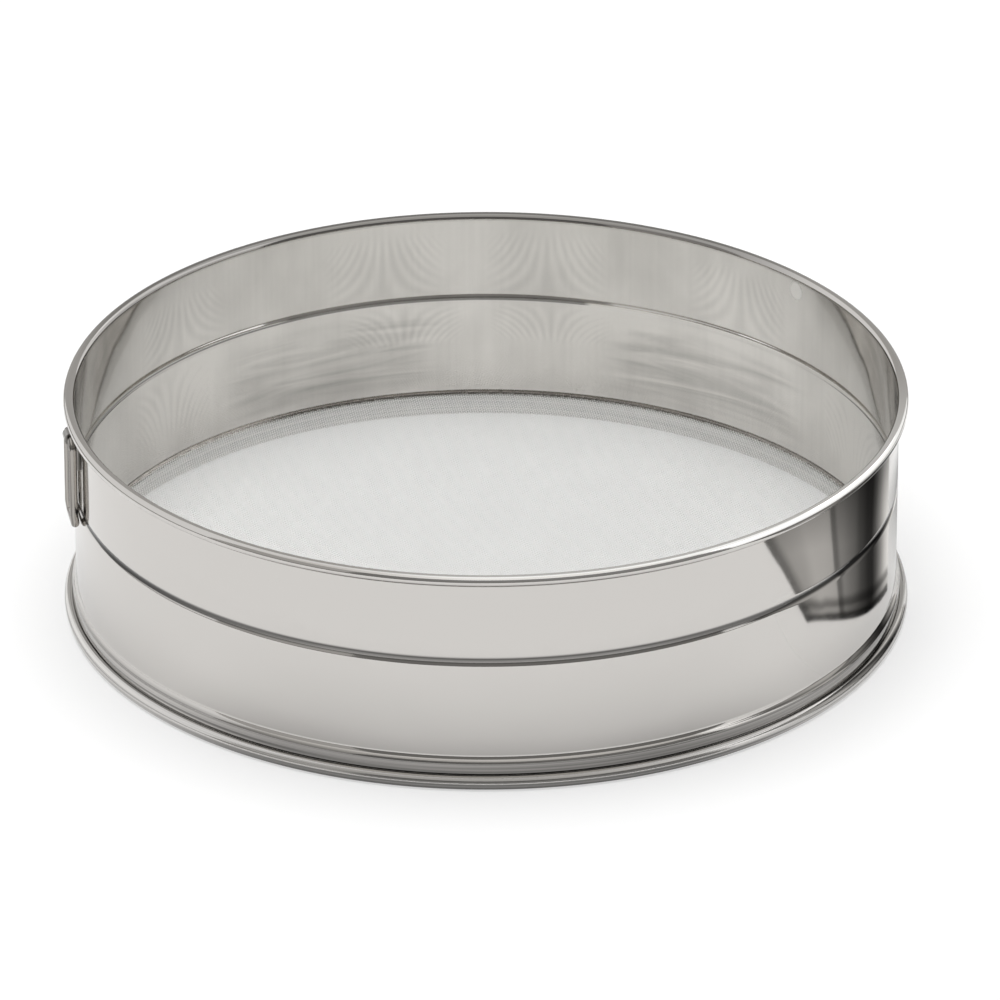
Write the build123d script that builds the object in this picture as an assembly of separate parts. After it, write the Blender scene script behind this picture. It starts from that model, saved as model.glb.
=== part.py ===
from build123d import *
import math
import os

# Tamis drum sieve in polished stainless steel, about 300 mm across and 82 mm high.
# A rolled sheet drum has a wired rim, a swaged groove half way up and a stepped collar
# at its foot. The collar slips over a base ring with a wired foot bead, and the sieve
# cloth is crimped between the two. A wire loop hinged under the rim hangs the sieve up.
# Lengths are millimetres, +Z is up, the drum's axis is Z and the foot rests on Z = 0.

# Drum
rim_diameter = 300.0
overall_height = 82.0
sheet_thickness = 0.7

# Wired edges: the sheet is curled round a wire until it closes on itself
rim_bead_diameter = 4.1
foot_bead_diameter = 5.0
foot_flat_depth = 0.1
wire_clearance = 0.05
bead_flat_count = 12
wire_flat_count = 4

# Swaged groove round the middle of the drum
groove_height = 48.0
groove_depth = 0.5
groove_edge_radius = 2.6
groove_floor_radius = 2.6

# Seam that crimps the sieve cloth
cloth_top_height = 8.8
cloth_thickness = 0.7
cloth_grip_width = 1.4
seam_clearance = 0.05
collar_bend_radius = 1.6
shoulder_radius = 3.0
seam_reveal = 0.6

# Net that stands for the woven cloth
net_pitch = 28.0
net_bar_width = 2.9
net_margin = 0.8
smallest_gap_share = 0.04

# Hanging loop
loop_azimuth_deg = 190.0
loop_wire_diameter = 3.0
loop_flat_count = 10
loop_leg_spacing = 12.5
loop_length = 32.0
loop_corner_radius = 2.2
loop_toe_length = 4.2
loop_wall_gap = 0.3
loop_rim_gap = 0.3

# Clip that carries the loop, and its rivet
clip_thickness = 0.8
clip_width = 5.0
clip_tail_length = 12.4
clip_bend_radius = 1.0
clip_leaf_clearance = 0.06
knuckle_clearance = 0.06
knuckle_wrap_deg = 240.0
rivet_diameter = 2.4
rivet_head_diameter = 4.2
rivet_head_height = 0.8
rivet_margin = 3.6
rivet_hole_clearance = 0.05
rivet_seat_clearance = 0.05

# Radii of the drum, from the outside in
rim_bead_radius = rim_bead_diameter / 2
foot_bead_radius = foot_bead_diameter / 2
drum_inner_radius = rim_diameter / 2 - rim_bead_diameter
drum_mid_radius = drum_inner_radius + sheet_thickness / 2
drum_outer_radius = drum_inner_radius + sheet_thickness

# Seam radii: cloth edge, base ring flange and collar, each outside the one before
cloth_radius = drum_inner_radius + cloth_grip_width
collar_inner_radius = cloth_radius + seam_clearance
collar_mid_radius = collar_inner_radius + sheet_thickness / 2

# Seam heights, from the foot up
foot_bead_height = foot_bead_radius - foot_flat_depth
foot_bead_top = foot_bead_height + foot_bead_radius
collar_bottom = foot_bead_top + seam_reveal
cloth_bottom_height = cloth_top_height - cloth_thickness
flange_bottom = cloth_bottom_height - seam_clearance - sheet_thickness
shoulder_height = cloth_top_height - seam_clearance

# Centres of the two beads, as radius and height
rim_bead_height = overall_height - rim_bead_radius
rim_bead_centre = (drum_inner_radius + rim_bead_radius, rim_bead_height)
foot_bead_centre = (drum_inner_radius + foot_bead_radius, foot_bead_height)

# Hinge of the loop, held clear of the drum and of the rim bead above it
loop_wire_radius = loop_wire_diameter / 2
knuckle_inner_radius = loop_wire_radius + knuckle_clearance
knuckle_mid_radius = knuckle_inner_radius + clip_thickness / 2
knuckle_outer_radius = knuckle_inner_radius + clip_thickness
hinge_radius = drum_outer_radius + knuckle_outer_radius
hinge_rim_distance = rim_bead_radius + knuckle_outer_radius + loop_rim_gap
hinge_rim_offset = hinge_radius - drum_inner_radius - rim_bead_radius
hinge_height = rim_bead_height - math.sqrt(hinge_rim_distance**2 - hinge_rim_offset**2)

# Clip and rivet heights, measured down from the hinge
clip_tail_bottom = hinge_height - clip_tail_length
rivet_height = clip_tail_bottom + rivet_margin
clip_face_radius = drum_outer_radius + 2 * clip_thickness + clip_leaf_clearance


def joggle(start, outward_radius, inward_radius, shift):
    # Two opposite bends that move a rising sheet inwards, as points joined by flats
    turn_deg = math.degrees(math.acos(1 - shift / (outward_radius + inward_radius)))
    first = JernArc(start, (0, 1), outward_radius, turn_deg)
    second = JernArc(first @ 1, first % 1, inward_radius, -turn_deg)
    return [first @ 0, first @ (1 / 2), second @ (1 / 2), second @ 1]


def groove_bends(start):
    # Three bends that carry a rising sheet in and out again, as points joined by flats
    bends = groove_edge_radius + groove_floor_radius
    turn_deg = math.degrees(math.acos(1 - groove_depth / bends))
    first = JernArc(start, (0, 1), groove_edge_radius, turn_deg)
    floor = JernArc(first @ 1, first % 1, groove_floor_radius, -2 * turn_deg)
    last = JernArc(floor @ 1, floor % 1, groove_edge_radius, turn_deg)
    return [first @ 0, floor @ (1 / 4), floor @ (3 / 4), last @ 1]


def groove_half_height():
    bends = groove_edge_radius + groove_floor_radius
    return math.sqrt(bends**2 - (bends - groove_depth) ** 2)


def rivet_hole():
    # A cutter along the loop's radial line, through the clip and the drum's wall
    start = Plane(origin=(drum_inner_radius - rivet_diameter, 0, rivet_height), z_dir=(1, 0, 0))
    bore = Circle(rivet_diameter / 2 + rivet_hole_clearance)
    return extrude(start * bore, clip_face_radius - drum_inner_radius + 2 * rivet_diameter)


def turn_to_loop(shape):
    # Parts of the loop are drawn on the X axis, then turned to their place
    return Rot(0, 0, loop_azimuth_deg) * shape


def curl_hole(bead_radius):
    # Section of the space that a curl leaves for its wire. Nothing shows it, so it is square
    return RegularPolygon(bead_radius - sheet_thickness, wire_flat_count)


def wired_bead(centre, bead_radius):
    # Section of a closed curl, rounded by flats, with the hole for its wire
    place = Pos(centre)
    return place * RegularPolygon(bead_radius, bead_flat_count), place * curl_hole(bead_radius)


def bead_wire(centre, bead_radius):
    # The wire that fills a curl, a clearance inside its hole
    section = offset(curl_hole(bead_radius), -wire_clearance, kind=Kind.INTERSECTION)
    return revolve(Plane.XZ * Pos(centre) * section, Axis.Z)


# Drum wall: collar, stepped shoulder, swaged groove and wired rim in one sheet
def drum_wall():
    shift = collar_mid_radius - drum_mid_radius
    collar_top = (collar_mid_radius, shoulder_height)
    groove_foot = (drum_mid_radius, groove_height - groove_half_height())
    route = Polyline(
        (collar_mid_radius, collar_bottom),
        *joggle(collar_top, collar_bend_radius, shoulder_radius, shift),
        *groove_bends(groove_foot),
        (drum_mid_radius, rim_bead_height),
    )
    bead, hole = wired_bead(rim_bead_centre, rim_bead_radius)
    section = trace(route.edges(), line_width=sheet_thickness) + bead - hole
    return revolve(Plane.XZ * section, Axis.Z) - turn_to_loop(rivet_hole())


# Base ring: flange under the cloth, short skirt and wired foot, cut flat underneath
def base_ring():
    flange = Pos(drum_inner_radius, flange_bottom) * Rectangle(
        cloth_grip_width, sheet_thickness, align=Align.MIN
    )
    skirt = Pos(drum_inner_radius, foot_bead_height) * Rectangle(
        sheet_thickness, flange_bottom - foot_bead_height, align=Align.MIN
    )
    bead, hole = wired_bead(foot_bead_centre, foot_bead_radius)
    ring = revolve(Plane.XZ * (flange + skirt + bead - hole), Axis.Z)
    return split(ring, Plane.XY, keep=Keep.TOP)


# Sieve cloth: one flat net, crimped at its edge
def mesh_cloth():
    open_radius = drum_inner_radius - net_margin
    count = 2 * math.ceil(open_radius / net_pitch)
    gap = net_pitch - net_bar_width
    limit = Circle(open_radius)
    gaps = []
    for place in GridLocations(net_pitch, net_pitch, count, count):
        cell = place * Rectangle(gap, gap) & limit
        if cell and cell.area > smallest_gap_share * gap**2:
            gaps.append(cell)
    net = Circle(cloth_radius) - gaps
    return Pos(0, 0, cloth_bottom_height) * extrude(net, cloth_thickness), len(gaps)


# Hanging loop: one bent wire, closed, that hangs straight and turns in at its lower end
def hanging_loop():
    half = loop_leg_spacing / 2
    bottom = hinge_height - loop_length
    toe = bottom + loop_toe_length
    foot_radius = drum_outer_radius + loop_wall_gap + loop_wire_radius
    corners = [
        (hinge_radius, half, hinge_height),
        (hinge_radius, -half, hinge_height),
        (hinge_radius, -half, toe),
        (foot_radius, -half, bottom),
        (foot_radius, half, bottom),
        (hinge_radius, half, toe),
    ]
    route = FilletPolyline(corners, radius=loop_corner_radius, close=True)
    start = Plane(origin=route @ 0, z_dir=route % 0)
    section = start * RegularPolygon(loop_wire_radius, loop_flat_count)
    return turn_to_loop(sweep(section, path=route))


# Clip: a strap folded round the loop's top bar and laid down the wall in two layers
def loop_clip():
    inner_leaf = drum_outer_radius + clip_thickness / 2
    outer_leaf = clip_face_radius - clip_thickness / 2
    up = Line((inner_leaf, clip_tail_bottom), (inner_leaf, hinge_height))
    knuckle = JernArc(up @ 1, (0, 1), knuckle_mid_radius, -knuckle_wrap_deg)
    lip = knuckle @ 1
    aim = knuckle % 1
    drop = (lip.X - outer_leaf) * aim.Y / -aim.X
    down = FilletPolyline(
        lip,
        (outer_leaf, lip.Y + drop),
        (outer_leaf, clip_tail_bottom),
        radius=clip_bend_radius,
    )
    section = trace([up, knuckle, *down.edges()], line_width=clip_thickness)
    strap = extrude(Plane.XZ * section, clip_width / 2, both=True)
    return turn_to_loop(strap - rivet_hole())


def rivet_head():
    # A low head that narrows towards its top
    crown_share = 0.6
    foot = rivet_head_diameter / 2
    from_seat = (Align.CENTER, Align.CENTER, Align.MIN)
    return Cone(foot, foot * crown_share, rivet_head_height, align=from_seat)


# Rivet through clip and wall, with a head outside and one inside
def clip_rivet():
    inner_seat = drum_inner_radius - rivet_seat_clearance
    grip = clip_face_radius + rivet_seat_clearance - inner_seat
    shank = extrude(Circle(rivet_diameter / 2), grip)
    rivet = shank + Pos(0, 0, grip) * rivet_head() + Rot(180, 0, 0) * rivet_head()
    return turn_to_loop(Pos(inner_seat, 0, rivet_height) * Rot(0, 90, 0) * rivet)


def main():
    cloth, gap_count = mesh_cloth()
    parts = {
        "drum_wall": drum_wall(),
        "rim_wire": bead_wire(rim_bead_centre, rim_bead_radius),
        "base_ring": base_ring(),
        "foot_wire": bead_wire(foot_bead_centre, foot_bead_radius),
        "mesh_cloth": cloth,
        "hanging_loop": hanging_loop(),
        "loop_clip": loop_clip(),
        "clip_rivet": clip_rivet(),
    }
    os.makedirs("parts", exist_ok=True)
    for name, shape in parts.items():
        export_step(shape, f"parts/{name}.step")
    turn = math.radians(loop_azimuth_deg)
    hinge = (hinge_radius * math.cos(turn), hinge_radius * math.sin(turn), hinge_height)
    print("gaps in the net", gap_count)
    print("hinge at", [round(value, 3) for value in hinge])
    print("rivet at height", round(rivet_height, 3))


main()
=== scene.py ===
import bpy
import bmesh
import math
from mathutils import Matrix, Vector


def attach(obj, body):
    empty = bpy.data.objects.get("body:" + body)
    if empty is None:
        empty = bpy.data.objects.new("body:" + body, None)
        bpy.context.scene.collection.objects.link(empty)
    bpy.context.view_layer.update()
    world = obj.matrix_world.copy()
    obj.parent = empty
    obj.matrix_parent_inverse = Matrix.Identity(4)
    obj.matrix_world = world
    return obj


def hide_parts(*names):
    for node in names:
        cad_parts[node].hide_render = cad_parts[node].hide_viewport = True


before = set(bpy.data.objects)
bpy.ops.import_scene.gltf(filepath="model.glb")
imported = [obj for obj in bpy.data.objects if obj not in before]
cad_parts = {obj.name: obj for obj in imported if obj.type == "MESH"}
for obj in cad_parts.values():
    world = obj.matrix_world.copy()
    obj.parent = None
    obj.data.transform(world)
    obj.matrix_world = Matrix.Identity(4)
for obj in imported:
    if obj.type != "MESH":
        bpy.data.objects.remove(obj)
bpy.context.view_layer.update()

# Sizes of the sieve in millimetres, as in the CAD model
MM = 0.001
SHEET = 0.7
DRUM_INNER = 145.9
DRUM_OUTER = DRUM_INNER + SHEET
RIM_BEAD = 2.05
RIM_BEAD_R = DRUM_INNER + RIM_BEAD
RIM_BEAD_Z = 79.95
FOOT_BEAD = 2.5
FOOT_BEAD_R = DRUM_INNER + FOOT_BEAD
FOOT_BEAD_Z = 2.4
COLLAR_MID = 147.7
COLLAR_FOOT_Z = 5.5
COLLAR_TOP_Z = 8.75
COLLAR_BEND = 1.6
SHOULDER_BEND = 3.0
GROOVE_Z = 48.0
GROOVE_DEPTH = 0.5
GROOVE_BEND = 2.6
FLANGE_FOOT_Z = 7.35
FLANGE_REACH = 1.4

# Woven cloth. The share says how far out, of its radius, the outer strips begin
CLOTH_MID_Z = 8.45
CLOTH_EDGE = 146.9
WIRE = 0.24
WEAVE_PITCH = 0.85
WEAVE_CUT_SHARE = 0.404
WEAVE_TURN_DEG = 8.0

# Hanging loop in its own frame: radial distance, sideways, height
LOOP_AZIMUTH_DEG = 190.0
LOOP_WIRE = 1.5
HINGE_R = 148.96
HINGE_Z = 75.35
LOOP_HALF = 6.25
LOOP_TOE_Z = 47.55
LOOP_FOOT_R = 148.4
LOOP_FOOT_Z = 43.35
LOOP_CORNER = 2.2

# Fineness of the meshes, and the angle from which an edge stays sharp
ROUND_STEPS = 288
SHOULDER_STEPS = 10
GROOVE_STEPS = 8
RIM_STEPS = 44
FOOT_INNER_STEPS = 14
FOOT_OUTER_STEPS = 34
LOOP_CORNER_STEPS = 12
LOOP_SIDES = 28
SHARP_DEG = 35


# Outlines in the section plane, as distance from the axis and height
def arc(centre, radius, start_deg, end_deg, steps):
    # Points along an arc, ends included
    points = []
    for k in range(steps + 1):
        a = math.radians(start_deg + (end_deg - start_deg) * k / steps)
        points.append((centre[0] + radius * math.cos(a), centre[1] + radius * math.sin(a)))
    return points


def bend_line(start, bends, steps):
    # A rising line bent by (radius, turn in degrees) one after the other. Gives points and headings
    points, headings = [start], [90.0]
    x, z = start
    heading = 90.0
    for radius, turn in bends:
        for k in range(steps):
            step = turn / steps
            chord = 2 * radius * math.sin(math.radians(abs(step)) / 2)
            way = math.radians(heading + step / 2)
            x += chord * math.cos(way)
            z += chord * math.sin(way)
            heading += step
            points.append((x, z))
            headings.append(heading)
    return points, headings


def side_of(points, headings, distance):
    # The same line, shifted sideways: plus is outwards, away from the axis
    shifted = []
    for (x, z), heading in zip(points, headings):
        a = math.radians(heading - 90)
        shifted.append((x + distance * math.cos(a), z + distance * math.sin(a)))
    return shifted


def drum_section():
    # Collar, shoulder, groove and rim bead of the drum, as one closed outline
    wall_mid = DRUM_INNER + SHEET / 2
    shift = COLLAR_MID - wall_mid
    turn = math.degrees(math.acos(1 - shift / (COLLAR_BEND + SHOULDER_BEND)))
    bends = [(COLLAR_BEND, turn), (SHOULDER_BEND, -turn)]
    low, low_head = bend_line((COLLAR_MID, COLLAR_TOP_Z), bends, SHOULDER_STEPS)
    turn = math.degrees(math.acos(1 - GROOVE_DEPTH / (2 * GROOVE_BEND)))
    half = math.sqrt((2 * GROOVE_BEND) ** 2 - (2 * GROOVE_BEND - GROOVE_DEPTH) ** 2)
    bends = [(GROOVE_BEND, turn), (GROOVE_BEND, -2 * turn), (GROOVE_BEND, turn)]
    high, high_head = bend_line((wall_mid, GROOVE_Z - half), bends, GROOVE_STEPS)
    points = [(COLLAR_MID, COLLAR_FOOT_Z)] + low + high
    headings = [90.0] + low_head + high_head
    outside = side_of(points, headings, SHEET / 2)
    inside = side_of(points, headings, -SHEET / 2)
    meet = 180 + math.degrees(math.acos((RIM_BEAD_R - DRUM_OUTER) / RIM_BEAD))
    bead = arc((RIM_BEAD_R, RIM_BEAD_Z), RIM_BEAD, meet - 360, 180, RIM_STEPS)
    return outside + bead + inside[::-1]


def base_section():
    # Foot bead, skirt and flange of the base ring, cut flat underneath
    flat = math.degrees(math.asin(FOOT_BEAD_Z / FOOT_BEAD))
    meet = math.degrees(math.acos((DRUM_OUTER - FOOT_BEAD_R) / FOOT_BEAD))
    centre = (FOOT_BEAD_R, FOOT_BEAD_Z)
    inner = arc(centre, FOOT_BEAD, 180, 180 + flat, FOOT_INNER_STEPS)
    outer = arc(centre, FOOT_BEAD, -flat, meet, FOOT_OUTER_STEPS)
    top = FLANGE_FOOT_Z + SHEET
    reach = DRUM_INNER + FLANGE_REACH
    flange = [(DRUM_OUTER, FLANGE_FOOT_Z), (reach, FLANGE_FOOT_Z), (reach, top), (DRUM_INNER, top)]
    return inner + outer + flange


# Meshes
def keep_piece(name, mesh, material):
    mesh.materials.clear()
    mesh.materials.append(material)
    piece = bpy.data.objects.new(name, mesh)
    bpy.context.scene.collection.objects.link(piece)
    return piece


def skin(bm, rings, along, girth, along_first):
    # Faces from each ring of points to the next, with a map in metres that runs round and along them
    layer = bm.loops.layers.uv.new("around")
    count, steps = len(rings), len(rings[0])
    for i in range(count):
        j = (i + 1) % count
        for k in range(steps):
            n = (k + 1) % steps
            face = bm.faces.new((rings[i][k], rings[i][n], rings[j][n], rings[j][k]))
            face.smooth = True
            rounds = [k, k + 1, k + 1, k]
            runs = [along[i], along[i], along[i + 1], along[i + 1]]
            for loop, around, run in zip(face.loops, rounds, runs):
                around = around / steps * girth
                loop[layer].uv = (run, around) if along_first else (around, run)


def skinned_piece(name, bm, material):
    bmesh.ops.recalc_face_normals(bm, faces=bm.faces)
    mesh = bpy.data.meshes.new(name)
    bm.to_mesh(mesh)
    bm.free()
    return keep_piece(name, mesh, material)


def turned_ring(name, section, material):
    # A closed section turned round the axis
    bm = bmesh.new()
    count = len(section)
    turns = [2 * math.pi * k / ROUND_STEPS for k in range(ROUND_STEPS)]
    rings = []
    for r, z in section:
        rings.append([bm.verts.new((r * MM * math.cos(a), r * MM * math.sin(a), z * MM)) for a in turns])
    along = [0.0]
    for k in range(count):
        p, q = section[k], section[(k + 1) % count]
        along.append(along[-1] + math.hypot(q[0] - p[0], q[1] - p[1]) * MM)
    skin(bm, rings, along, 2 * math.pi * DRUM_OUTER * MM, False)
    for i in range(count):
        p, q, s = section[i - 1], section[i], section[(i + 1) % count]
        a = math.atan2(q[1] - p[1], q[0] - p[0])
        b = math.atan2(s[1] - q[1], s[0] - q[0])
        corner = abs((b - a + math.pi) % (2 * math.pi) - math.pi)
        if corner > math.radians(SHARP_DEG):
            for k in range(ROUND_STEPS):
                bm.edges.get((rings[i][k], rings[i][(k + 1) % ROUND_STEPS])).smooth = False
    return skinned_piece(name, bm, material)


def loop_route():
    # Centre line of the hanging loop: straight legs, turned in to the wall at their lower end
    corners = [
        (HINGE_R, LOOP_HALF, HINGE_Z),
        (HINGE_R, -LOOP_HALF, HINGE_Z),
        (HINGE_R, -LOOP_HALF, LOOP_TOE_Z),
        (LOOP_FOOT_R, -LOOP_HALF, LOOP_FOOT_Z),
        (LOOP_FOOT_R, LOOP_HALF, LOOP_FOOT_Z),
        (HINGE_R, LOOP_HALF, LOOP_TOE_Z),
    ]
    points = []
    for k in range(len(corners)):
        before, here, after = (Vector(corners[j % len(corners)]) for j in (k - 1, k, k + 1))
        into = (here - before).normalized()
        out = (after - here).normalized()
        turn = into.angle(out)
        inward = (out - into * into.dot(out)).normalized()
        centre = here - into * LOOP_CORNER * math.tan(turn / 2) + inward * LOOP_CORNER
        for s in range(LOOP_CORNER_STEPS + 1):
            a = turn * s / LOOP_CORNER_STEPS
            points.append(centre - inward * LOOP_CORNER * math.cos(a) + into * LOOP_CORNER * math.sin(a))
    return points


def swept_wire(name, route, radius, sides, material):
    # A round wire along a closed route
    bm = bmesh.new()
    count = len(route)
    turns = [2 * math.pi * s / sides for s in range(sides)]
    rings = []
    for k in range(count):
        way = (route[(k + 1) % count] - route[k - 1]).normalized()
        side = Vector((1, 0, 0)).cross(way).normalized()
        normal = way.cross(side)
        spots = [route[k] + (side * math.cos(a) + normal * math.sin(a)) * radius for a in turns]
        rings.append([bm.verts.new(spot * MM) for spot in spots])
    along = [0.0]
    for k in range(count):
        along.append(along[-1] + (route[(k + 1) % count] - route[k]).length * MM)
    skin(bm, rings, along, 2 * math.pi * radius * MM, True)
    bm.transform(Matrix.Rotation(math.radians(LOOP_AZIMUTH_DEG), 4, "Z"))
    return skinned_piece(name, bm, material)


class Graph:
    # A node tree, with a short call for each kind of node that is used often
    def __init__(self, tree):
        self.nodes, self.links = tree.nodes, tree.links

    def join(self, socket, value):
        # Another node's socket is linked, and a number, vector or colour is set directly
        if isinstance(value, bpy.types.NodeSocket):
            self.links.new(value, socket)
        else:
            socket.default_value = value

    def add(self, kind, given=(), **settings):
        node = self.nodes.new(kind)
        for name, setting in settings.items():
            setattr(node, name, setting)
        for key, value in dict(given).items():
            self.join(node.inputs[key], value)
        return node.outputs

    def sum(self, operation, *values):
        return self.add("ShaderNodeMath", enumerate(values), operation=operation)[0]

    def times(self, *values):
        total = values[0]
        for value in values[1:]:
            total = self.sum("MULTIPLY", total, value)
        return total

    def split(self, vector):
        return self.add("ShaderNodeSeparateXYZ", {0: vector})

    def reach(self, vector, centre=None):
        # Distance from the origin, or from a centre
        if centre is None:
            return self.add("ShaderNodeVectorMath", {0: vector}, operation="LENGTH")["Value"]
        return self.add("ShaderNodeVectorMath", {0: vector, 1: centre}, operation="DISTANCE")["Value"]

    def ranged(self, value, low, high, start=0.0, end=1.0, kind="LINEAR"):
        # The way of a value from low to high, as the way from start to end
        given = {"Value": value, "From Min": low, "From Max": high, "To Min": start, "To Max": end}
        return self.add("ShaderNodeMapRange", given, interpolation_type=kind)[0]

    def window(self, value, low, high, soft):
        # 1 between two values and 0 outside them, with soft ends
        rise = self.ranged(value, low - soft, low, kind="SMOOTHSTEP")
        return self.times(rise, self.ranged(value, high + soft, high, kind="SMOOTHSTEP"))

    def sector(self, turn, low_deg, high_deg, soft):
        return self.window(turn, math.radians(low_deg), math.radians(high_deg), soft)

    def noise(self, vector, scale, detail, distortion=0.0):
        given = {"Vector": vector, "Scale": scale, "Detail": detail, "Distortion": distortion}
        return self.add("ShaderNodeTexNoise", given)["Fac"]

    def drawn_noise(self, vector, stretch, detail, distortion=0.0):
        # Noise with its own scale along each axis
        drawn = self.add("ShaderNodeMapping", {"Vector": vector, "Scale": stretch})[0]
        return self.noise(drawn, 1.0, detail, distortion)

    def ramp(self, value, tones, kind="LINEAR"):
        # Grey levels by place, in order, the first at 0 and the last at 1
        node = self.nodes.new("ShaderNodeValToRGB")
        node.color_ramp.interpolation = kind
        stops = node.color_ramp.elements
        stops[0].color = grey(tones[0][1])
        stops[1].color = grey(tones[-1][1])
        for place, level in tones[1:-1]:
            stops.new(place).color = grey(level)
        self.links.new(value, node.inputs[0])
        return node.outputs[0]

    def mixed(self, amount, before, after):
        # From one colour at 0 to the other at 1
        return self.add("ShaderNodeMix", {"Factor": amount, 6: before, 7: after}, data_type="RGBA")[2]

    def bump(self, height, strength, distance, before=None, invert=False):
        given = {"Height": height, "Strength": strength, "Distance": distance}
        if before is not None:
            given["Normal"] = before
        return self.add("ShaderNodeBump", given, invert=invert)[0]


def grey(level):
    return (level, level, level, 1)


def shade(colour, share):
    return (*[c * share for c in colour[:3]], 1)


# Woven cloth: wires in one direction, bent over and under the others, cut to a circle
WEAVE_INPUTS = (
    ("Pitch", "Float"),
    ("Wire radius", "Float"),
    ("Bend height", "Float"),
    ("Cloth radius", "Float"),
    ("Lowest", "Float"),
    ("Highest", "Float"),
    ("Across", "Bool"),
    ("Count", "Int"),
    ("Turn", "Float"),
    ("Height", "Float"),
    ("Finish", "Material"),
)
WIRE_SIDES = 3


def weave_tree():
    tree = bpy.data.node_groups.new("woven_wires", "GeometryNodeTree")
    tree.interface.new_socket("Geometry", in_out="OUTPUT", socket_type="NodeSocketGeometry")
    sizes = {}
    for label, kind in WEAVE_INPUTS:
        socket = tree.interface.new_socket(label, in_out="INPUT", socket_type="NodeSocket" + kind)
        sizes[label] = socket.identifier
    graph = Graph(tree)
    given = graph.add("NodeGroupInput")
    pitch, count, across = given["Pitch"], given["Count"], given["Across"]

    # Crossing points of the cloth, as a square grid about the middle
    span = graph.times(pitch, graph.sum("SUBTRACT", count, 1))
    grid_size = {"Size X": span, "Size Y": span, "Vertices X": count, "Vertices Y": count}
    grid = graph.add("GeometryNodeMeshGrid", grid_size)["Mesh"]

    # Wires run along Y, so the edges between neighbouring wires go
    ends = graph.add("GeometryNodeInputMeshEdgeVertices")
    two_ends = {0: ends["Position 1"], 1: ends["Position 2"]}
    gap = graph.split(graph.add("ShaderNodeVectorMath", two_ends, operation="SUBTRACT")[0])
    sideways = graph.sum("GREATER_THAN", graph.sum("ABSOLUTE", gap["X"]), graph.times(pitch, 0.5))
    cut = {"Geometry": grid, "Selection": sideways}
    single = graph.add("GeometryNodeDeleteGeometry", cut, domain="EDGE", mode="EDGE_FACE")[0]

    # Cut to the circle, and to this piece's share of the wires
    spot = graph.split(graph.add("GeometryNodeInputPosition")[0])
    x, y = spot["X"], spot["Y"]
    far = graph.sum("SQRT", graph.sum("ADD", graph.times(x, x), graph.times(y, y)))
    outside = graph.sum("GREATER_THAN", far, given["Cloth radius"])
    below = graph.sum("LESS_THAN", x, given["Lowest"])
    above = graph.sum("GREATER_THAN", x, given["Highest"])
    unwanted = graph.sum("MAXIMUM", outside, graph.sum("MAXIMUM", below, above))
    cut = {"Geometry": single, "Selection": unwanted}
    trimmed = graph.add("GeometryNodeDeleteGeometry", cut, domain="POINT")[0]

    # Over and under: the height alternates from one crossing to the next
    phase = graph.times(graph.sum("DIVIDE", graph.sum("ADD", x, y), pitch), math.pi)
    flip = graph.sum("SUBTRACT", 1.0, graph.times(across, 2.0))
    rise = graph.times(graph.sum("COSINE", phase), given["Bend height"], flip)
    lift = graph.add("ShaderNodeCombineXYZ", {"Z": rise})[0]
    bent = graph.add("GeometryNodeSetPosition", {"Geometry": trimmed, "Offset": lift})[0]
    line = graph.add("GeometryNodeMeshToCurve", {"Mesh": bent})[0]
    round_wire = {"Resolution": WIRE_SIDES, "Radius": given["Wire radius"]}
    ring = graph.add("GeometryNodeCurvePrimitiveCircle", round_wire)["Curve"]
    swept = {"Curve": line, "Profile Curve": ring, "Fill Caps": True}
    wire = graph.add("GeometryNodeCurveToMesh", swept)[0]

    # Turned to its direction and lifted to the seam
    angle = graph.sum("ADD", given["Turn"], graph.times(across, math.pi / 2))
    turn = graph.add("ShaderNodeCombineXYZ", {"Z": angle})[0]
    up = graph.add("ShaderNodeCombineXYZ", {"Z": given["Height"]})[0]
    placed = {"Geometry": wire, "Translation": up, "Rotation": turn}
    laid = graph.add("GeometryNodeTransform", placed)[0]
    soft = graph.add("GeometryNodeSetShadeSmooth", {"Geometry": laid})[0]
    real = graph.add("GeometryNodeRealizeInstances", {"Geometry": soft})[0]
    finish = graph.add("GeometryNodeSetMaterial", {"Geometry": real, "Material": given["Finish"]})[0]
    graph.add("NodeGroupOutput", {"Geometry": finish})
    return tree, sizes


def woven_wires(name, tree, sizes, across, low, high, material):
    holder = bpy.data.objects.new(name + "_grid", bpy.data.meshes.new(name + "_grid"))
    bpy.context.scene.collection.objects.link(holder)
    weave = holder.modifiers.new("weave", "NODES")
    weave.node_group = tree
    values = {
        "Pitch": WEAVE_PITCH * MM,
        "Wire radius": WIRE / 2 * MM,
        "Bend height": WIRE / 2 * MM,
        "Cloth radius": CLOTH_EDGE * MM,
        "Lowest": low,
        "Highest": high,
        "Across": across,
        "Count": 2 * math.ceil(CLOTH_EDGE / WEAVE_PITCH) + 1,
        "Turn": math.radians(WEAVE_TURN_DEG),
        "Height": CLOTH_MID_Z * MM,
        "Finish": material,
    }
    for label, value in values.items():
        weave[sizes[label]] = value
    graph = bpy.context.evaluated_depsgraph_get()
    mesh = bpy.data.meshes.new_from_object(holder.evaluated_get(graph))
    mesh.name = name
    bpy.data.objects.remove(holder)
    return keep_piece(name, mesh, material)


# Marks, painted shade and painted highlights on the drum. A band is its lowest and highest place in metres,
# with the width of its soft ends
OUTER_FACE = (0.14603, 0.1475, 0.00001)
GROOVE_FLOOR = (0.0479, 0.0490, 0.0010)
GROOVE_CORE = (0.0474, 0.0486, 0.0007)
GROOVE_RIDGE = (0.0478, 0.0486, 0.0005)
RIDGE_CREST = (0.0485, 0.0490, 0.0005)
RIM_CREST = (0.0808, 0.0830, 0.0008)
UPPER_WALL = (0.050, 0.09, 0.002)
SMEARED_WALL = (0.018, 0.036, 0.009)
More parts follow.
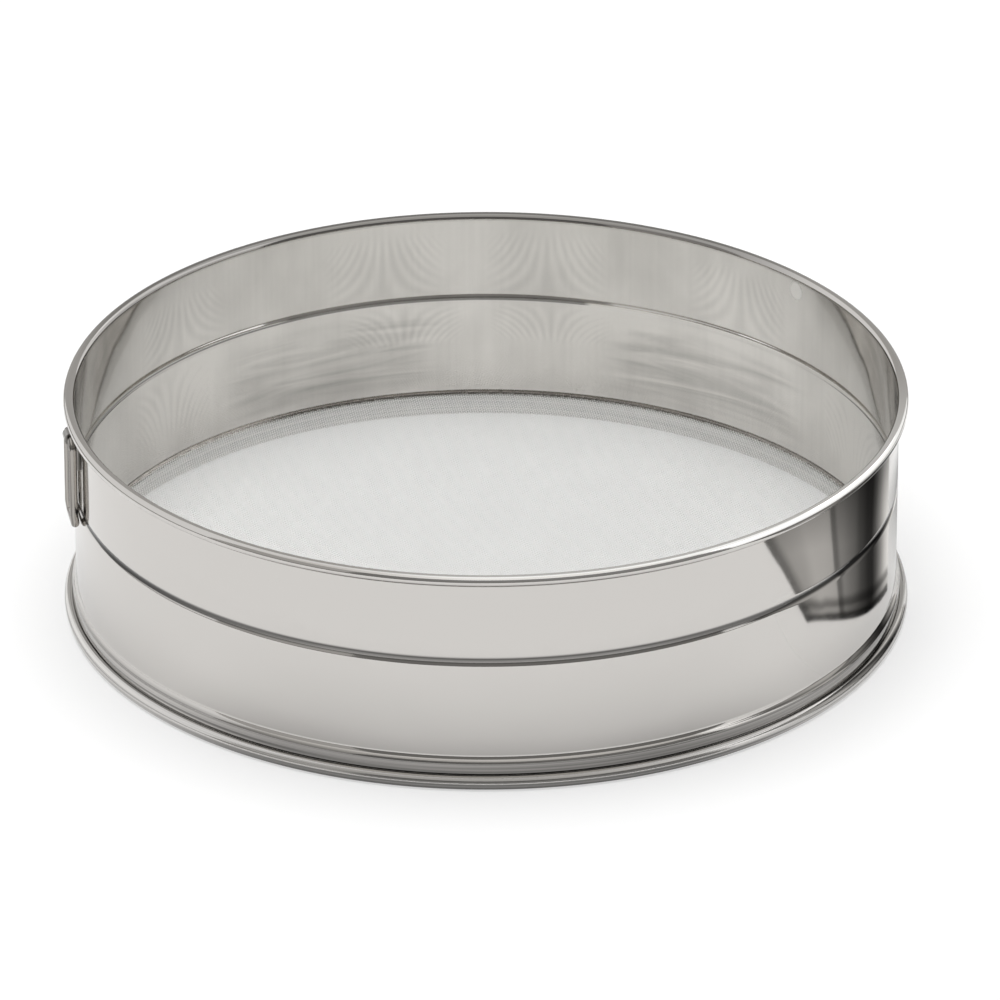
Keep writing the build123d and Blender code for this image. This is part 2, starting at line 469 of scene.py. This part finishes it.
# Bands along the outline, as the section's map runs: the seam at the collar, and the inside
SEAM_RUN = (-0.001, 0.0038, 0.002)
INSIDE_RUN = (0.0852, 0.2, 0.0003)
# Sectors of the wall, from and to an azimuth in degrees, with the width of their soft ends in radians
SMEARED_LEFT = (103, 124, 0.16)
SMEARED_RIGHT = (44, 66, 0.16)
RIDGE_SHADE_SECTOR = (76, 185, 0.03)
RIDGE_HIGHLIGHT_RIGHT = (8, 70, 0.05)
RIDGE_HIGHLIGHT_LEFT = (122, 170, 0.05)
RIM_HIGHLIGHT_SECTOR = (-88, -18, 0.5)
RIM_SHADE_SECTOR = (56, 148, 0.45)
# Colours: the inner wall, painted paler than the outer as painted light, the painted highlight, and the spot
# weld
INSIDE_TONE = (0.728, 0.706, 0.675, 1)
HIGHLIGHT_TONE = (0.97, 0.96, 0.94, 1)
WELD_TONE = (0.93, 0.915, 0.89, 1)
# Spot weld where the rolled sheet's ends are tacked: its place, and where it begins to fade and ends
WELD_POINT = (0.1127, 0.0927, 0.0760)
WELD_SPOT = (0.0024, 0.0042)

# How far to the side the painted shade in the groove begins to blacken, and where it is full
GROOVE_SHADE_SIDES = (0.05, 0.13)
# Shares of the clean colour that the darkened places keep
GROOVE_SHADE_SHARE, GROOVE_CORE_SHADE_SHARE = 0.42, 0.04
SEAM_SHARE = 0.48
MARK_SHARE = 0.45
RIM_SHADE_SHARE = 0.56
# Stretch of a noise, per metre round and across: the rolling grain, the lines of painted reflection at the
# collar and on the curled pieces, and the smears
ROLLED_GRAIN = (14, 5200, 1)
SEAM_LINES = (4, 1300, 1)
CURL_LINES = (5, 1500, 1)
SMEARS = (15, 150, 1)
# Where such a noise counts as nothing, and where it counts in full
GRAIN_REACH = (0.3, 0.7)
SEAM_REACH = (0.40, 0.60)
CURL_REACH = (0.35, 0.65)
SMEAR_REACH = (0.38, 0.66)
PATCH_REACH = (0.36, 0.64)
# How strong the darkening on the inside is: smears at least and at most, darker above and all over, and the
# painted shade on the ridge
SMEAR_DEPTH = (0.08, 0.50)
DARKER_ABOVE, DARKER_ALL = 0.08, 0.05
RIDGE_SHADE_DEPTH = 1.1
# Uneven patches on the inner wall: stretch of the noise, and depth
PATCHES = (((40, 28, 1), 0.16), ((420, 9, 1), 0.05))
# How bright the painted highlights on the crests are
RIDGE_HIGHLIGHT, RIM_HIGHLIGHT = 0.7, 0.85
# Strength and depth in metres of each relief, and how much duller the weld is
GRAIN_RELIEF = (0.25, 0.00001)
WAVE_RELIEF = (1.0, 0.0002)
WELD_RELIEF = (0.3, 0.00003)
WELD_DULL = 0.5

# Fans of painted moiré reflection on the inner wall: azimuth, and heights where they are tight and spread
MOIRE_FANS = (
    (105.1, 0.077, 0.050),
    (81.1, 0.077, 0.050),
    (50.3, 0.077, 0.050),
    (140.0, 0.074, 0.050),
    (102.0, 0.031, 0.047),
    (80.5, 0.032, 0.047),
    (142.0, 0.020, 0.046),
    (24.0, 0.022, 0.046),
)
# How close a fan's lines are where it is spread and tight, its half width and soft edge in radians, and depth
FAN_SPREAD, FAN_TIGHT = 45.0, 380.0
FAN_HALF, FAN_EDGE = 0.085, 0.09
FAN_DEPTH = 0.07


def moire_fan(graph, turn, height, azimuth_deg, tight, spread):
    # Painted moiré reflection: fine lines that stand upright at one height and flare out towards the other
    away = graph.sum("SUBTRACT", turn, math.radians(azimuth_deg))
    density = graph.ranged(height, spread, tight, FAN_SPREAD, FAN_TIGHT)
    wave = graph.sum("COSINE", graph.times(away, density))
    fade = graph.window(graph.sum("ABSOLUTE", away), -1.0, FAN_HALF, FAN_EDGE)
    low, high = min(tight, spread), max(tight, spread)
    span = high - low
    tall = graph.window(height, low + span * 0.15, high - span * 0.3, span * 0.3)
    return graph.times(wave, graph.times(fade, tall))


def groove_shade_tone(graph, spot, clean):
    # Painted shade in the floor of the groove, on the outside only, most at the sides
    flat = graph.add("ShaderNodeCombineXYZ", {"X": spot["X"], "Y": spot["Y"]})[0]
    outside = graph.window(graph.reach(flat), *OUTER_FACE)
    wide = graph.times(graph.window(spot["Z"], *GROOVE_FLOOR), outside)
    at_sides = graph.ranged(graph.sum("ABSOLUTE", spot["X"]), *GROOVE_SHADE_SIDES)
    # Painted shade at the core of the groove, deepest at the left and right
    deep = graph.times(graph.window(spot["Z"], *GROOVE_CORE), at_sides, outside)
    tone = graph.mixed(wide, clean, shade(clean, GROOVE_SHADE_SHARE))
    return graph.mixed(deep, tone, shade(clean, GROOVE_CORE_SHADE_SHARE))


def seam_tone(graph, where, run, clean, tone):
    # Fine dark lines that run round the shoulder and the collar: painted reflection of dark bands, laid out
    # like rolling lines
    lines = graph.drawn_noise(where["UV"], SEAM_LINES, 2.0)
    # Painted reflection of dark bands over the collar and shoulder
    dark = graph.times(graph.ranged(lines, *SEAM_REACH), graph.window(run, *SEAM_RUN))
    return graph.mixed(dark, tone, shade(clean, SEAM_SHARE))


def inside_tone(graph, where, turn, height, clean, tone, inside):
    # The inside of the wall: painted paler as painted light, with cloudy smears, darkening that is deeper low
    # at the left and right, fans of painted moiré reflection, painted shade on the ridge and a painted
    # highlight on its crest
    marks = None
    # Fans of painted moiré reflection, added together
    for fan in MOIRE_FANS:
        one = moire_fan(graph, turn, height, *fan)
        marks = one if marks is None else graph.sum("ADD", marks, one)
    smear = graph.drawn_noise(where["UV"], SMEARS, 4.0, 0.8)
    heavy = graph.ranged(smear, *SMEAR_REACH, *SMEAR_DEPTH)
    # Low on the wall at the left and right: smears, over a darkening of at least the smaller depth
    sides = graph.sum("ADD", graph.sector(turn, *SMEARED_LEFT), graph.sector(turn, *SMEARED_RIGHT))
    low = graph.times(graph.window(height, *SMEARED_WALL), sides)
    darker_inside = graph.sum("MULTIPLY_ADD", graph.window(height, *UPPER_WALL), DARKER_ABOVE, DARKER_ALL)
    total = graph.sum("MULTIPLY_ADD", marks, FAN_DEPTH, darker_inside)
    total = graph.sum("MULTIPLY_ADD", heavy, low, total)
    for stretch, depth in PATCHES:
        uneven = graph.drawn_noise(where["UV"], stretch, 3.0)
        total = graph.sum("ADD", total, graph.ranged(uneven, *PATCH_REACH, -depth / 2, depth / 2))
    # Painted shade on the ridge, over the left and the back
    ridge = graph.window(height, *GROOVE_RIDGE)
    ridge_shade = graph.times(graph.sector(turn, *RIDGE_SHADE_SECTOR), RIDGE_SHADE_DEPTH)
    total = graph.sum("MULTIPLY_ADD", ridge, ridge_shade, total)
    # The inside painted paler than the outside: painted light
    paler = graph.mixed(inside, tone, INSIDE_TONE)
    marked = graph.mixed(graph.times(total, inside), paler, shade(clean, MARK_SHARE))
    # Painted highlight on the ridge's crest at its two ends
    crest = graph.window(height, *RIDGE_CREST)
    ends = graph.sum("ADD", graph.sector(turn, *RIDGE_HIGHLIGHT_RIGHT), graph.sector(turn, *RIDGE_HIGHLIGHT_LEFT))
    shine = graph.times(graph.times(crest, ends), graph.times(inside, RIDGE_HIGHLIGHT))
    return graph.mixed(shine, marked, HIGHLIGHT_TONE)


def rim_tone(graph, turn, height, clean, tone):
    # The crest of the rim: a painted highlight at the front right and painted shade at the back
    crest = graph.window(height, *RIM_CREST)
    back = graph.times(crest, graph.sector(turn, *RIM_SHADE_SECTOR))
    front = graph.times(crest, graph.sector(turn, *RIM_HIGHLIGHT_SECTOR), RIM_HIGHLIGHT)
    rim_shaded = graph.mixed(back, tone, shade(clean, RIM_SHADE_SHARE))
    return graph.mixed(front, rim_shaded, HIGHLIGHT_TONE)


# Painted shade on the cloth towards the wall: distance from the middle where it begins and is full, and its
# depth there
CLOTH_EDGE_SHADE = (0.122, 0.146, 0.0, 0.10)


# Materials
def metal(name, metallic=1.0):
    # A new metal: the material, its graph, its shader's inputs and its coordinates
    material = bpy.data.materials.new(name)
    material.use_nodes = True
    graph = Graph(material.node_tree)
    shader = graph.nodes["Principled BSDF"].inputs
    shader["Metallic"].default_value = metallic
    return material, graph, shader, graph.add("ShaderNodeTexCoord")


def steel(name, colour, roughness, lines, smudges, drum=False):
    # Polished sheet: fine rolling lines round the drum, smudges that change the gloss
    material, graph, shader, where = metal(name)
    grain = graph.drawn_noise(where["UV"], ROLLED_GRAIN, 3.0)
    cloud = graph.noise(where["Object"], 16.0, 4.0, 0.6)
    gloss = graph.ranged(cloud, *GRAIN_REACH, roughness, roughness + smudges)
    rough = graph.sum("ADD", gloss, graph.ranged(grain, *GRAIN_REACH, 0.0, lines))
    tone = (*colour, 1)
    shader["Base Color"].default_value = tone
    if drum:
        wave = graph.bump(graph.noise(where["Object"], 34.0, 1.0), *WAVE_RELIEF)
        normal = graph.bump(grain, *GRAIN_RELIEF, wave)
        tone, rough, normal = drum_marks(graph, where, tone, rough, normal)
        graph.join(shader["Base Color"], tone)
    else:
        normal = graph.bump(grain, *GRAIN_RELIEF)
    graph.join(shader["Roughness"], rough)
    graph.join(shader["Normal"], normal)
    return material


def drum_marks(graph, where, clean, rough, normal):
    # Colour, gloss and relief of the drum: its spot weld and marks, with painted shade, painted highlights,
    # painted reflection and painted light
    spot = graph.split(where["Object"])
    run = graph.split(where["UV"])["Y"]
    turn = graph.sum("ARCTAN2", spot["Y"], spot["X"])
    inside = graph.window(run, *INSIDE_RUN)
    tone = groove_shade_tone(graph, spot, clean)
    tone = seam_tone(graph, where, run, clean, tone)
    tone = inside_tone(graph, where, turn, spot["Z"], clean, tone, inside)
    tone = rim_tone(graph, turn, spot["Z"], clean, tone)

    # The spot weld is paler, duller and a little sunk
    distance = graph.reach(where["Object"], WELD_POINT)
    weld = graph.times(graph.ranged(distance, *WELD_SPOT, 1.0, 0.0, "SMOOTHSTEP"), inside)
    tone = graph.mixed(weld, tone, WELD_TONE)
    rough = graph.sum("MULTIPLY_ADD", weld, WELD_DULL, rough)
    return tone, rough, graph.bump(weld, *WELD_RELIEF, normal, invert=True)


def ringed_steel(name, colour, roughness, dark, light):
    # Duller sheet with fine dark and light lines that run round it: painted reflection of dark and light
    # bands, laid out like rolling lines
    material, graph, shader, where = metal(name)
    lines = graph.drawn_noise(where["UV"], CURL_LINES, 2.0)
    even = graph.ranged(lines, *CURL_REACH)
    # Painted reflection: dark and light bands mixed into the colour
    graph.join(shader["Base Color"], graph.mixed(even, shade(colour, dark), shade(colour, light)))
    graph.join(shader["Roughness"], graph.ranged(lines, 0.0, 1.0, roughness, roughness + 0.08))
    return material


def cloth_wire(name, colour, roughness):
    # Bright woven wire: small changes of tone from wire to wire, and painted shade towards the seam, where
    # the wall shades it
    material, graph, shader, where = metal(name, 0.35)
    fleck = graph.noise(where["Object"], 60.0, 5.0)
    blend = graph.mixed(fleck, shade(colour, 0.94), (*colour, 1))
    edge_shade = graph.ranged(graph.reach(where["Object"]), *CLOTH_EDGE_SHADE, "SMOOTHSTEP")
    graph.join(shader["Base Color"], graph.mixed(edge_shade, blend, shade(colour, 0.25)))
    graph.join(shader["Roughness"], graph.ranged(fleck, 0.0, 1.0, roughness, roughness + 0.12))
    return material


drum_steel = steel("polished_sheet", (0.582, 0.563, 0.54), 0.045, 0.03, 0.03, drum=True)
base_steel = ringed_steel("base_ring_sheet", (0.64, 0.625, 0.605), 0.12, 0.60, 1.15)
loop_steel = ringed_steel("bright_bent_wire", (0.30, 0.285, 0.265), 0.12, 0.35, 1.7)
clip_steel = steel("clip_strap", (0.36, 0.35, 0.335), 0.20, 0.08, 0.06)
hidden_steel = steel("drawn_wire", (0.5, 0.5, 0.5), 0.35, 0.05, 0.05)
weave_steel = cloth_wire("woven_wire", (0.96, 0.965, 0.945), 0.32)

# The drum and the base ring, turned smooth from the CAD model's sections
drum = turned_ring("drum_sheet", drum_section(), drum_steel)
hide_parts("drum_wall")
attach(drum, "drum")

base = turned_ring("wired_base_ring", base_section(), base_steel)
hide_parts("base_ring")
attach(base, "drum")

# The cloth, woven both ways, each way in four strips of about the same area, cut between two wires
weave, weave_sizes = weave_tree()
side_cut = (round(WEAVE_CUT_SHARE * CLOTH_EDGE / WEAVE_PITCH) + 0.5) * WEAVE_PITCH * MM
middle_cut = WEAVE_PITCH * MM / 2
cuts = (-1.0, -side_cut, middle_cut, side_cut, 1.0)
for across, way in ((False, "warp"), (True, "weft")):
    for strip, low, high in zip("abcd", cuts, cuts[1:]):
        name = f"cloth_{way}_{strip}"
        wires = woven_wires(name, weave, weave_sizes, across, low, high, weave_steel)
        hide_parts("mesh_cloth")
        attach(wires, "drum")

# The hanging loop
loop = swept_wire("bent_hanging_loop", loop_route(), LOOP_WIRE, LOOP_SIDES, loop_steel)
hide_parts("hanging_loop")
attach(loop, "loop")

# CAD pieces that stay, each with its own finish
for node, material in (
    ("loop_clip", clip_steel),
    ("clip_rivet", clip_steel),
    ("rim_wire", hidden_steel),
    ("foot_wire", hidden_steel),
):
    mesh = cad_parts[node].data
    if not mesh.materials:
        mesh.materials.append(material)
    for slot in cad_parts[node].material_slots:
        slot.material = material


# Stage. Its cards only show in the metal. Distances in metres, elevations and azimuths in degrees
FLOOR_HALF = 9.0
CARD_TONE = (1.0, 0.985, 0.96)
DOME_ROWS, DOME_STEPS, RING_STEPS = 7, 24, 96
ROOM_REACH = 6.0
TABLE_INNER, TABLE_HEIGHT = 0.5, 0.0004
TABLES = (("far_table", 180, 360, 0.27), ("back_table", 0, 180, 0.34))
# Lowest and highest elevation, first and last azimuth, and radiance
ROOM_CARDS = (
    ("room_low", 0, 42, 235, 335, 0.21),
    ("room_left", 0, 42, 195, 235, 0.50),
    ("room_high", 42, 80, 195, 345, 0.85),
    ("room_back", 0, 70, 60, 120, 0.50),
)
# The floor's own light: distance from the middle where it begins to rise and is full, and its strength
FLOOR_GLOW = (0.35, 1.6, 0.5, 1.0)
# Rings that shade the floor for the metal: inner and outer edge, height, first and last azimuth
FOOT_SHADE = (0.1492, 0.24, 0.0002, 0, 360)
RIGHT_SHADE = (0.1492, 0.225, 0.0003, -30, 100)
# Shade at the foot, outwards over this distance, and how it rises from the sides to the front
FOOT_SHADE_WAY = (0.149, 0.24)
FOOT_SHADE_TONES = ((0.0, 0.7), (0.12, 0.58), (0.22, 0.34), (0.4, 0.17), (0.7, 0.08), (1.0, 0.0))
FOOT_SHADE_FRONT = (-0.55, -0.92, 0.15, 1.0)
# Shade at the right: its distance and its sector, each with soft ends, and its depth
RIGHT_SHADE_WAY = (0.149, 0.180, 0.04)
RIGHT_SHADE_SECTOR = (32, 60, 0.5)
RIGHT_SHADE_DEPTH = 0.62
# A glow high at the right: distance, lowest and highest elevation, first and last azimuth, and radiance
RIGHT_GLOW = (5.5, 25, 46, -20, 60)
RIGHT_GLOW_LIGHT = 1.6


def bare_paint(name):
    # A material without a shader: itself, its graph and the socket of its surface
    paint = bpy.data.materials.new(name)
    paint.use_nodes = True
    graph = Graph(paint.node_tree)
    graph.nodes.clear()
    return paint, graph, graph.nodes.new("ShaderNodeOutputMaterial").inputs["Surface"]


def seen_ray(graph):
    # 1 for rays from the camera, from metal and through glass, and 0 for the others
    path = graph.add("ShaderNodeLightPath")
    total = graph.sum("MAXIMUM", path["Is Camera Ray"], path["Is Glossy Ray"])
    return graph.sum("MAXIMUM", total, path["Is Transmission Ray"])


def floor_paint():
    # Half lit and half its own light near the sieve, so that a soft shadow shows, and white far off
    paint, graph, surface = bare_paint("pale_floor")
    matt = graph.add("ShaderNodeBsdfDiffuse", {"Color": grey(0.5)})[0]
    away = graph.reach(graph.add("ShaderNodeTexCoord")["Object"])
    far = graph.ranged(away, *FLOOR_GLOW, "SMOOTHSTEP")
    glow = graph.add("ShaderNodeEmission", {"Strength": graph.times(seen_ray(graph), far)})[0]
    graph.join(surface, graph.add("ShaderNodeAddShader", {0: matt, 1: glow})[0])
    return paint


def glow_paint(name, colour, strength):
    paint, graph, surface = bare_paint(name)
    given = {"Color": (*colour, 1), "Strength": strength}
    graph.join(surface, graph.add("ShaderNodeEmission", given)[0])
    return paint


def darken(graph, surface, amount):
    # Clear where the amount is 0 and black where it is 1
    clear = graph.add("ShaderNodeBsdfTransparent")[0]
    dark = graph.add("ShaderNodeEmission", {"Strength": 0.0})[0]
    graph.join(surface, graph.add("ShaderNodeMixShader", {0: amount, 1: clear, 2: dark})[0])


def right_shade_paint():
    # Darkens the floor at the right that the metal sees, softly at its ends
    paint, graph, surface = bare_paint("right_shade")
    place = graph.add("ShaderNodeTexCoord")["Object"]
    spot = graph.split(place)
    turn = graph.sum("ARCTAN2", spot["Y"], spot["X"])
    near = graph.window(graph.reach(place), *RIGHT_SHADE_WAY)
    right = graph.sector(turn, *RIGHT_SHADE_SECTOR)
    darken(graph, surface, graph.times(near, right, RIGHT_SHADE_DEPTH))
    return paint


def foot_shade_paint():
    # Darkens the floor that the metal sees, most beside the foot and in front
    paint, graph, surface = bare_paint("foot_shade")
    place = graph.add("ShaderNodeTexCoord")["Object"]
    reach = graph.reach(place)
    tones = graph.ramp(graph.ranged(reach, *FOOT_SHADE_WAY), FOOT_SHADE_TONES, "B_SPLINE")
    ahead = graph.sum("DIVIDE", graph.split(place)["Y"], reach)
    front = graph.ranged(ahead, *FOOT_SHADE_FRONT, "SMOOTHSTEP")
    darken(graph, surface, graph.times(tones, front))
    return paint


def stage_sheet(name, rows, paint):
    # A sheet of the stage through rows of points
    columns = len(rows[0])
    faces = []
    for j in range(len(rows) - 1):
        for k in range(columns - 1):
            n = j * columns + k
            faces.append((n, n + 1, n + columns + 1, n + columns))
    mesh = bpy.data.meshes.new(name)
    mesh.from_pydata([point for row in rows for point in row], [], faces)
    piece = keep_piece(name, mesh, paint)
    return piece


def reflection_card(name, rows, paint):
    # A sheet that only shows in the metal
    card = stage_sheet(name, rows, paint)
    card.visible_camera = False
    card.visible_diffuse = False
    card.visible_shadow = False
    card.visible_transmission = False
    return card


def turn_row(radius, height, start_deg, end_deg, steps):
    # Points round the axis, from one azimuth to another
    turns = [math.radians(start_deg + (end_deg - start_deg) * k / steps) for k in range(steps + 1)]
    return [(radius * math.cos(a), radius * math.sin(a), height) for a in turns]


def dome_card(name, radius, low_deg, high_deg, start_deg, end_deg, paint):
    # A patch of a ball round the sieve, between two elevations
    rows = []
    for j in range(DOME_ROWS):
        e = math.radians(low_deg + (high_deg - low_deg) * j / (DOME_ROWS - 1))
        level = (radius * math.cos(e), radius * math.sin(e))
        rows.append(turn_row(*level, start_deg, end_deg, DOME_STEPS))
    reflection_card(name, rows, paint)


def flat_ring(name, inner, outer, height, start_deg, end_deg, paint):
    # A ring, or part of one, that lies just over the floor
    rows = [turn_row(r, height, start_deg, end_deg, RING_STEPS) for r in (outer, inner)]
    reflection_card(name, rows, paint)


floor_edge = (-FLOOR_HALF, FLOOR_HALF)
stage_sheet("floor", [[(x, y, 0) for x in floor_edge] for y in floor_edge], floor_paint())
flat_ring("foot_shade_ring", *FOOT_SHADE, foot_shade_paint())
flat_ring("right_shade_ring", *RIGHT_SHADE, right_shade_paint())
for name, start, end, radiance in TABLES:
    paint = glow_paint(name + "_grey", CARD_TONE, radiance)
    flat_ring(name, TABLE_INNER, ROOM_REACH, TABLE_HEIGHT, start, end, paint)
for name, low, high, start, end, radiance in ROOM_CARDS:
    paint = glow_paint(name + "_grey", CARD_TONE, radiance)
    dome_card(name, ROOM_REACH, low, high, start, end, paint)

# A folded sheet that stands near the sieve at its back right, and shows only in its polished wall
PANEL_FOOT = 0.0005
PANEL_TOP = 0.07
# Angle of the wall that mirrors the foot, the same for the top, distance of the foot, place in the tones
PANEL_COLUMNS = (
    (49.9, 34.6, 0.0750, 0.0),
    (51.2, 36.8, 0.0730, 0.04),
    (54.5, 45.5, 0.0655, 0.25),
    (58.2, 53.9, 0.0575, 0.44),
    (59.2, 55.0, 0.0555, 0.47),
    (62.0, 59.0, 0.0500, 0.56),
    (64.5, 63.0, 0.0460, 0.66),
    (67.0, 66.0, 0.0420, 0.74),
    (69.0, 69.0, 0.0400, 0.81),
    (71.5, 71.5, 0.0385, 0.88),
    (74.0, 74.0, 0.0370, 0.95),
    (76.5, 76.5, 0.0360, 1.0),
)
# Radiance across the sheet, from its left edge to its right
PANEL_TONES = (
    (0.0, 0.20),
    (0.03, 0.24),
    (0.065, 0.50),
    (0.25, 0.64),
    (0.42, 0.57),
    (0.44, 0.20),
    (0.465, 0.19),
    (0.485, 0.32),
    (0.56, 0.22),
    (0.66, 0.09),
    (0.74, 0.035),
    (0.79, 0.03),
    (0.835, 0.12),
    (0.894, 0.36),
    (0.95, 0.72),
    (1.0, 1.05),
)
# The same up the sheet, from its foot to 60 mm: a dark hem, a fold and a fade towards the top
PANEL_RISE = 0.06
PANEL_HEM = (
    (0.0, 0.16),
    (0.055, 0.16),
    (0.07, 0.7),
    (0.10, 0.75),
    (0.12, 0.36),
    (0.15, 0.45),
    (0.19, 1.0),
    (0.5, 1.0),
    (1.0, 0.38),
)


def mirror_spot(front_deg, way, height):
    # Where a level ray goes that the wall mirrors at this angle from the front
    a = math.radians(front_deg)
    r = DRUM_OUTER * MM
    x = r * math.sin(a) + way * math.sin(2 * a)
    y = -r * math.cos(a) - way * math.cos(2 * a)
    return x, y, height


def panel_paint():
    paint, graph, surface = bare_paint("folded_sheet_tones")
    where = graph.add("ShaderNodeTexCoord")
    tones = graph.ramp(graph.split(where["UV"])["X"], PANEL_TONES)
    rise = graph.ranged(graph.split(where["Object"])["Z"], 0.0, PANEL_RISE)
    level = graph.times(tones, graph.ramp(rise, PANEL_HEM))
    given = {"Color": (*CARD_TONE, 1), "Strength": level}
    graph.join(surface, graph.add("ShaderNodeEmission", given)[0])
    return paint


def folded_sheet():
    feet = [mirror_spot(foot, way, PANEL_FOOT) for foot, _, way, _ in PANEL_COLUMNS]
    tops = [mirror_spot(top, way, PANEL_TOP) for _, top, way, _ in PANEL_COLUMNS]
    card = reflection_card("folded_sheet", [feet, tops], panel_paint())
    layer = card.data.uv_layers.new(name="across")
    for loop in card.data.loops:
        row, column = divmod(loop.vertex_index, len(PANEL_COLUMNS))
        layer.data[loop.index].uv = (PANEL_COLUMNS[column][3], row)


folded_sheet()
dome_card("right_glow", *RIGHT_GLOW, glow_paint("right_glow_white", (1.0, 1.0, 1.0), RIGHT_GLOW_LIGHT))

# The world lights matt things less than the metal and the camera see of it
WORLD_LIGHT = 0.35
world = bpy.data.worlds.new("studio")
bpy.context.scene.world = world
world.use_nodes = True
sky = Graph(world.node_tree)
shine = sky.nodes["Background"].inputs
shine["Color"].default_value = grey(1)
sky.join(shine["Strength"], sky.ranged(seen_ray(sky), 0.0, 1.0, WORLD_LIGHT, 1.0))

lamp = bpy.data.lights.new("overhead_softbox", "AREA")
lamp.shape = "RECTANGLE"
lamp.size, lamp.size_y = 2.4, 2.0
lamp.energy = 56
softbox = bpy.data.objects.new("overhead_softbox", lamp)
softbox.location = (-0.1, 0.1, 2.3)
softbox.rotation_euler = (-softbox.location).to_track_quat("-Z", "Y").to_euler()
softbox.visible_glossy = False
bpy.context.scene.collection.objects.link(softbox)

# Camera at the photograph's angle, looking down at 26.5 degrees
LOOK_DOWN = 0.461725
ROLL = -0.0015869
lens = bpy.data.cameras.new("camera")
lens.sensor_width = 36
lens.lens = 352.94
lens.clip_end = 50
camera = bpy.data.objects.new("camera", lens)
camera.location = (0, -3.1314, 1.5955)
camera.rotation_euler = (math.pi / 2 - LOOK_DOWN, 0, ROLL)
bpy.context.scene.collection.objects.link(camera)
bpy.context.scene.camera = camera
bpy.context.scene.view_settings.view_transform = "Standard"
